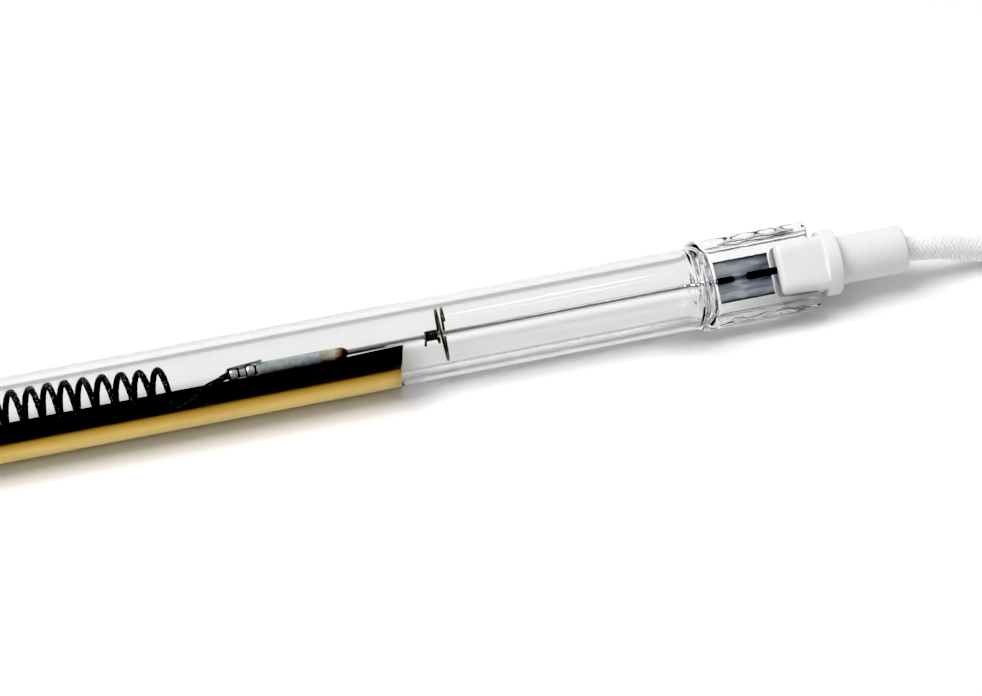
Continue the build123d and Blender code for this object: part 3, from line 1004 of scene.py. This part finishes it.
def clip_mesh():
    """Rolled clip with two bulging bands, and the plate folded back over them."""
    # Place along the lamp, radius and tone. The tone is near white on the crowns of the bands, a painted
    # highlight, and black in the grooves beside them, painted shade
    profile = [(CLIP_X, 0.5, 0.3), (CLIP_X, CLIP_RADIUS, 0.3)]
    for start in BAND_STARTS:
        first = CLIP_X + start
        last = first + BAND_WIDTH
        profile += [(first - 0.2, CLIP_RADIUS, 0.85), (first - 0.02, CLIP_RADIUS, 0.0)]
        for step in range(1, BAND_STEPS):
            angle = math.pi * step / BAND_STEPS
            profile.append((
                first + BAND_WIDTH / 2 * (1 - math.cos(angle)),
                CLIP_RADIUS + (BAND_RADIUS - CLIP_RADIUS) * math.sin(angle) ** 0.6,
                0.35 if step in (1, BAND_STEPS - 1) else 1.0,
            ))
        for past, tone in ((0.02, 0.0), (0.16, 0.1), (0.3, 0.85)):
            profile.append((last + past, CLIP_RADIUS, tone))
    profile += [(SLEEVE_X, CLIP_RADIUS, 0.85), (SLEEVE_X, 0.5, 0.3)]
    verts, faces = lathe([(x, radius) for x, radius, _ in profile], TAIL_AROUND, (TAIL_RISE, 0.0))
    tones = np.repeat([tone for _, _, tone in profile], TAIL_AROUND)
    low = BAND_RADIUS + TAIL_RISE
    plate = [
        (-0.05, low - 0.85), (-0.05, low - 0.2), (0.1, low - 0.1), (PLATE_LENGTH, low + 0.27),
        (PLATE_LENGTH, low + 0.27 - PLATE_THICK), (0.25, low - 0.24), (0.1, low - 0.34), (0.1, low - 0.85),
    ]
    points = [(CLIP_X + x, y, half) for half in (-PLATE_HALF, PLATE_HALF) for x, y in plate]
    base, count = len(verts), len(plate)
    sides = [tuple(base + i for i in range(count)), tuple(base + count + i for i in reversed(range(count)))]
    for i in range(count):
        j = (i + 1) % count
        sides.append((base + j, base + i, base + count + i, base + count + j))
    tones = np.concatenate([tones, np.full(len(points), 0.55)])
    return np.concatenate([verts, points]), faces + sides, tones


def sleeve_profile():
    """Sleeve with a rounded mouth and a slightly uneven wall."""
    mouth = SLEEVE_X + 0.02
    wall = SLEEVE_X + 0.2
    profile = [(mouth, 0.5)] + rounded(mouth, SLEEVE_RADIUS, 0.15, 0.12)
    for step in range(1, 24):
        x = wall + (BEAD_X - wall) * step / 24
        profile.append((x, SLEEVE_RADIUS + 0.012 * math.sin(step * 2.3)))
    return profile + [(BEAD_X, SLEEVE_RADIUS - 0.01), (BEAD_X, 0.5)]


def bead_mesh():
    """Lumpy bead that rounds off on the rod, with how far along it each point is."""
    start = BEAD_X - 0.05
    profile = [(BEAD_X - 0.1, BEAD_CORE)]
    for step in range(21):
        share = step / 20
        radius = BEAD_RADIUS - 0.1 * share
        if share > BEAD_SHOULDER:
            radius *= math.sqrt(max(0.0, 1 - ((share - BEAD_SHOULDER) / 0.225) ** 2))
        profile.append((start + (BEAD_END - start) * share, max(radius, BEAD_CORE)))
    verts, faces = lathe(profile, 36, (TAIL_RISE, 0.0))
    lumpy = []
    for x, y, z in verts:
        lump = 1 + 0.09 * noise.noise(Vector((x * 1.3, y * 1.3, z * 1.3)))
        lumpy.append((x, TAIL_RISE + (y - TAIL_RISE) * lump, z * lump))
    places = np.clip((np.array(lumpy)[:, 0] - BEAD_X) / (BEAD_END - BEAD_X), 0, 1)
    return np.array(lumpy), faces, 0.62 * places ** 1.6


verts, faces, tones = clip_mesh()
for clip in both_ends(
    "crimp_clip_bands", "crimp_clip", verts, faces, "bright_clip", smooth=False, numbers={"tone": tones}
):
    face_outward(clip)
    for polygon in clip.data.polygons:
        polygon.use_smooth = len(polygon.vertices) == 4
    clip.data.set_sharp_from_angle(angle=math.radians(40))
verts, faces = lathe(sleeve_profile(), TAIL_AROUND, (TAIL_RISE, 0.0))
both_ends("tail_sleeve_skin", "tail_sleeve", verts, faces, "grey_sleeve")
verts, faces, places = bead_mesh()
both_ends("braze_bead_skin", "braze_bead", verts, faces, "burnt_bead", numbers={"along": places})


# Rods and support wires

ROD_RADIUS = 0.43


def rod_line():
    """Middle of the rod: straight from the bead, with a slight bend before its weld on the foil."""
    return smooth_line([
        (BEAD_X - 6.0, TAIL_RISE, 0.0),
        (BEAD_X, TAIL_RISE, 0.0),
        (PINCH_X - 50, CORE_RISE - 0.06, 0.0),
        (PINCH_X - 30, CORE_RISE - 0.05, 0.0),
        (PINCH_X - 6, CORE_RISE - 0.02, 0.05),
        (PINCH_X - 2.5, 0.3, 0.3),
        (PINCH_X - 0.9, 0.2, 0.5),
        (PINCH_X + 2.8, 0.2, 0.5),
    ], 16)


verts, faces = tube(rod_line(), ROD_RADIUS, 20)
# The rod darkens where it enters the seal
tones = np.interp(verts[:, 0], (PINCH_X - 0.6, PINCH_X + 0.6), (0.75, 0.0))
both_ends("inner_rod", "inner_lead", verts, faces, "grey_wire", numbers={"tone": tones})

SUPPORT_X = PINCH_X - 43.7
SUPPORT_RADIUS = 0.18
WRAPS = 4.75
WRAP_PITCH = 0.38
# Ring of the support: turn in degrees from its top towards the near side, then its radius there
RING_SHAPE = [
    (-170, 0.62), (-140, 1.0), (-100, 2.6), (-60, 3.2), (-25, 3.6), (0, 3.66),
    (60, 3.7), (120, 3.74), (180, 3.78), (260, 3.74), (360, 3.76), (436, 3.7),
]
RING_ADVANCE = 0.85
RING_LEAN = 0.2
RING_DROP = 0.16


def support_line():
    """Support wire: a short tail, tight wraps on the rod, then an open ring that fits the bore."""
    centre = CORE_RISE
    wrap = ROD_RADIUS + SUPPORT_RADIUS
    points = [(SUPPORT_X - 0.3, centre - 1.45, 0.7), (SUPPORT_X - 0.12, centre - 0.8, 0.68)]
    steps = 14
    for step in range(int(WRAPS * steps) + 1):
        turn = step / steps
        angle = 2 * math.pi * turn
        points.append((
            SUPPORT_X + WRAP_PITCH * turn,
            centre - wrap * math.cos(angle),
            wrap * math.sin(angle) if turn > 0.1 else wrap * math.sin(angle) + 0.3,
        ))
    start = SUPPORT_X + WRAP_PITCH * WRAPS
    turns, reaches = zip(*RING_SHAPE)
    for degrees in range(turns[0], turns[-1] + 1, 12):
        reach = np.interp(degrees, turns, reaches)
        across = reach * math.sin(math.radians(degrees))
        points.append((
            start + 0.05 + RING_ADVANCE * (degrees - turns[0]) / 360 - RING_LEAN * across,
            centre - RING_DROP + reach * math.cos(math.radians(degrees)),
            across,
        ))
    return smooth_line(points, 4)


verts, faces = tube(support_line(), SUPPORT_RADIUS, 12)
both_ends("support_wire_ring", "support_spiral", verts, faces, "support_wire", turned=True)


# Foil of the pressed seal, its tone darker along the welded wires

FOIL_X = PINCH_X + 0.3
FOIL_LENGTH = 8.3
FOIL_WIDTH = 6.2
FOIL_ROWS = 60
FOIL_COLUMNS = 44
FOIL_THICK = 0.03
WELD_Y = 0.2
WELD_HALF = 0.42


def foil_mesh():
    """Thin foil with feathered, slightly curled edges and shallow creases. Its tone is lighter towards the
    inner end, on raised creases and along a strip near each long edge, painted highlights, and darker at
    the rims and in crease hollows, painted shade; it also darkens along the weld and has random lighter
    patches.
    """
    along = np.linspace(0, FOIL_LENGTH, FOIL_ROWS)
    across = np.linspace(-1, 1, FOIL_COLUMNS)
    top, tones = [], []
    for x in along:
        end = x / FOIL_LENGTH
        for share in across:
            uneven = 0.05 * noise.noise(Vector((x * 1.4, share * 3, 2.0))) * abs(share)
            y = share * FOIL_WIDTH / 2 + uneven
            crease = noise.noise(Vector((x * 0.16, y * 2.1, 5.0)))
            top.append((FOIL_X + x, y, 0.07 * crease + 0.1 * share ** 4))
            # Dark rims and crease hollows are painted shade; the lighter inner end, crease tops and edge
            # strips are painted highlights
            edge = 1 - abs(share) ** 9
            ridge = 1 - 0.8 * math.exp(-((y - WELD_Y) / WELD_HALF) ** 4)
            patch = 0.9 * max(0.0, noise.noise(Vector((x * 0.45, y * 1.3, 9.0)))) * (1.3 - end)
            strip = 0.22 * math.exp(-((abs(share) - 0.68) / 0.17) ** 2)
            ground = 0.7 - 0.34 * end
            tones.append((ground + 0.25 * crease + patch + strip) * edge * ridge - 0.12 * (1 - edge))
    low = np.array(top) - (0, 0, FOIL_THICK)
    return np.concatenate([top, low]), slab_faces(FOIL_ROWS, FOIL_COLUMNS), np.tile(tones, 2)


verts, faces, tones = foil_mesh()
for foil in both_ends("seal_foil_sheet", "seal_foil", verts, faces, "seal_foil", numbers={"tone": tones}):
    face_outward(foil)


# Caps

BLOCK_HALF_WIDTH = 3.7
BLOCK_HALF_HEIGHT = 3.5
BLOCK_GROWTH = 0.3
# Power of the block's rounded square section
BLOCK_POWER = 5.5
COLLAR_RADIUS = 4.85
BARREL_RADIUS = 3.5
BARREL_LENGTH = 9.4
OUTLET_RADIUS = 1.95
OUTLET_DEPTH = 11.7
SLOT_HALF = 1.5
CAP_AROUND = 72


def cap_block():
    """Block with rounded sides, a little wider at the back."""
    length = COLLAR_X - CAP_X
    stations = [(0.0, 0.5), (0.08, 0.28), (0.22, 0.12), (0.45, 0.02), (0.7, 0.0)]
    stations += [(place, 0.0) for place in (1.4, 2.6, 4.0, 5.4, 6.6, length + 0.4)]
    rings = []
    for place, inset in stations:
        grown = BLOCK_GROWTH * place / length - inset
        loop = []
        for angle in np.linspace(0, 2 * math.pi, 64, endpoint=False):
            c, s = math.cos(angle), math.sin(angle)
            reach = (abs(c) ** BLOCK_POWER + abs(s) ** BLOCK_POWER) ** (-1 / BLOCK_POWER)
            wide, high = BLOCK_HALF_WIDTH + grown, BLOCK_HALF_HEIGHT + grown
            loop.append((CAP_X + place, wide * c * reach, high * s * reach))
        rings.append(loop)
    return rings_mesh(rings)


def cap_body():
    """Collar and barrel with the outlet bore, turned in one."""
    profile = [(COLLAR_X, 1.0)]
    profile += rounded(COLLAR_X, COLLAR_RADIUS, 0.35, 0.35)
    profile += rounded(BARREL_X, COLLAR_RADIUS, -0.3, 0.3)[::-1]
    for place, wider in ((0.02, 0.12), (0.15, 0.03), (0.35, 0.0)):
        profile.append((BARREL_X + place, BARREL_RADIUS + wider))
    for step in range(1, 10):
        profile.append((BARREL_X + 0.35 + BARREL_LENGTH * step / 10, BARREL_RADIUS))
    profile += rounded(OUTLET_X, BARREL_RADIUS, -0.45, 0.45)[::-1]
    for place, wider in ((0.0, 0.2), (0.15, 0.03), (0.4, 0.0), (OUTLET_DEPTH, 0.0)):
        profile.append((OUTLET_X - place, OUTLET_RADIUS + wider))
    profile.append((OUTLET_X - OUTLET_DEPTH, 1.0))
    return lathe(profile, CAP_AROUND, ends="joined")


def cut(obj, other, operation):
    """Boolean with another object, applied, and the other object removed."""
    modifier = obj.modifiers.new("cut", "BOOLEAN")
    modifier.operation = operation
    modifier.object = other
    modifier.solver = "EXACT"
    bpy.context.view_layer.update()
    shape = bpy.data.meshes.new_from_object(obj.evaluated_get(bpy.context.evaluated_depsgraph_get()))
    obj.modifiers.clear()
    obj.data = shape
    bpy.data.objects.remove(other)


def end_cap(side):
    """Cap of one end: block and barrel joined, then the slot for the seal cut out of them."""
    flip = side == "left"

    def part(name, points, faces, smooth=True):
        placed = mirror_points(points) if flip else points
        return make_mesh(name + "_" + side, placed, faces, flip=flip, smooth=smooth)

    cap = part("ceramic_cap", *cap_block())
    cut(cap, part("cap_body", *cap_body()), "UNION")
    corners = [
        (CAP_X + x, y, z) for x in (-1.0, 5.3) for y in (-9.0, 9.0) for z in (-SLOT_HALF, SLOT_HALF)
    ]
    sides = [(0, 1, 3, 2), (4, 6, 7, 5), (0, 4, 5, 1), (2, 3, 7, 6), (0, 2, 6, 4), (1, 5, 7, 3)]
    cut(cap, part("slot_box", corners, sides, smooth=False), "DIFFERENCE")
    for polygon in cap.data.polygons:
        polygon.use_smooth = True
    cap.data.set_sharp_from_angle(angle=math.radians(35))
    dress(cap, "white_ceramic", "end_cap_" + side)


for side in SIDES:
    end_cap(side)


# Pieces that keep their CAD shape

KEPT = {
    "outer_pin_left": "dark_pin",
    "outer_pin_right": "dark_pin",
    "cap_cement_left": "cement",
    "cap_cement_right": "cement",
    "splice_sleeve_left": "tinned_metal",
    "splice_sleeve_right": "tinned_metal",
    "lead_conductor": "lead_core",
    "ring_terminal": "tinned_metal",
}
for node, slot in KEPT.items():
    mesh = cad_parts[node].data
    mesh.materials.clear()
    mesh.materials.append(MATERIALS[slot])


# Light

def studio_world():
    """Dim studio round the table, lighter behind it than in front."""
    world = bpy.data.worlds.new("world")
    world.use_nodes = True
    tree = world.node_tree
    coords = add(tree, "ShaderNodeTexCoord")
    split = add(tree, "ShaderNodeSeparateXYZ")
    tree.links.new(coords.outputs["Generated"], split.inputs[0])
    depth = add(tree, "ShaderNodeMapRange")
    depth.inputs["From Min"].default_value = -1.0
    tree.links.new(split.outputs["Y"], depth.inputs["Value"])
    tone = ramp(tree, depth.outputs["Result"], [
        (0.0, (0.05, 0.05, 0.052)),
        (0.45, (0.09, 0.09, 0.092)),
        (0.75, (0.42, 0.42, 0.42)),
        (1.0, (0.6, 0.6, 0.6)),
    ])
    tree.links.new(tone, tree.nodes["Background"].inputs["Color"])
    bpy.context.scene.world = world


def area_light(name, direction, distance, size, energy, centre=TARGET):
    """Soft light that faces its centre from a direction."""
    data = bpy.data.lights.new(name, "AREA")
    data.shape = "RECTANGLE"
    data.size, data.size_y = size
    data.energy = energy
    obj = bpy.data.objects.new(name, data)
    away = Vector(direction).normalized()
    obj.location = Vector(centre) + away * distance
    obj.rotation_euler = away.to_track_quat("Z", "Y").to_euler()
    bpy.context.collection.objects.link(obj)


studio_world()
area_light("key_light", (-0.45, 0.05, 0.9), 1.3, (0.8, 1.0), 18.5)
area_light("left_fill", (-0.8, -0.45, 0.4), 1.3, (0.6, 0.6), 3.5)
area_light("right_fill", (0.85, -0.25, 0.45), 1.3, (0.6, 0.6), 3.5)
# Small light that draws a bright streak along the clear glass
area_light("streak_light", (0.2048, 0.19, 0.96), 0.6, (0.03, 0.06), 0.2, (0.122, 0.0, 0.006))

# Points of the tone curve that deepen the darkest tones: level, and how it is shown
TONE_POINTS = ((0.045, 0.006), (0.1, 0.06), (0.22, 0.195))

view = bpy.context.scene.view_settings
view.view_transform = "Standard"
view.look = "None"
view.exposure = -0.09
view.use_curve_mapping = True
for level, shown in TONE_POINTS:
    view.curve_mapping.curves[3].points.new(level, shown)
view.curve_mapping.update()
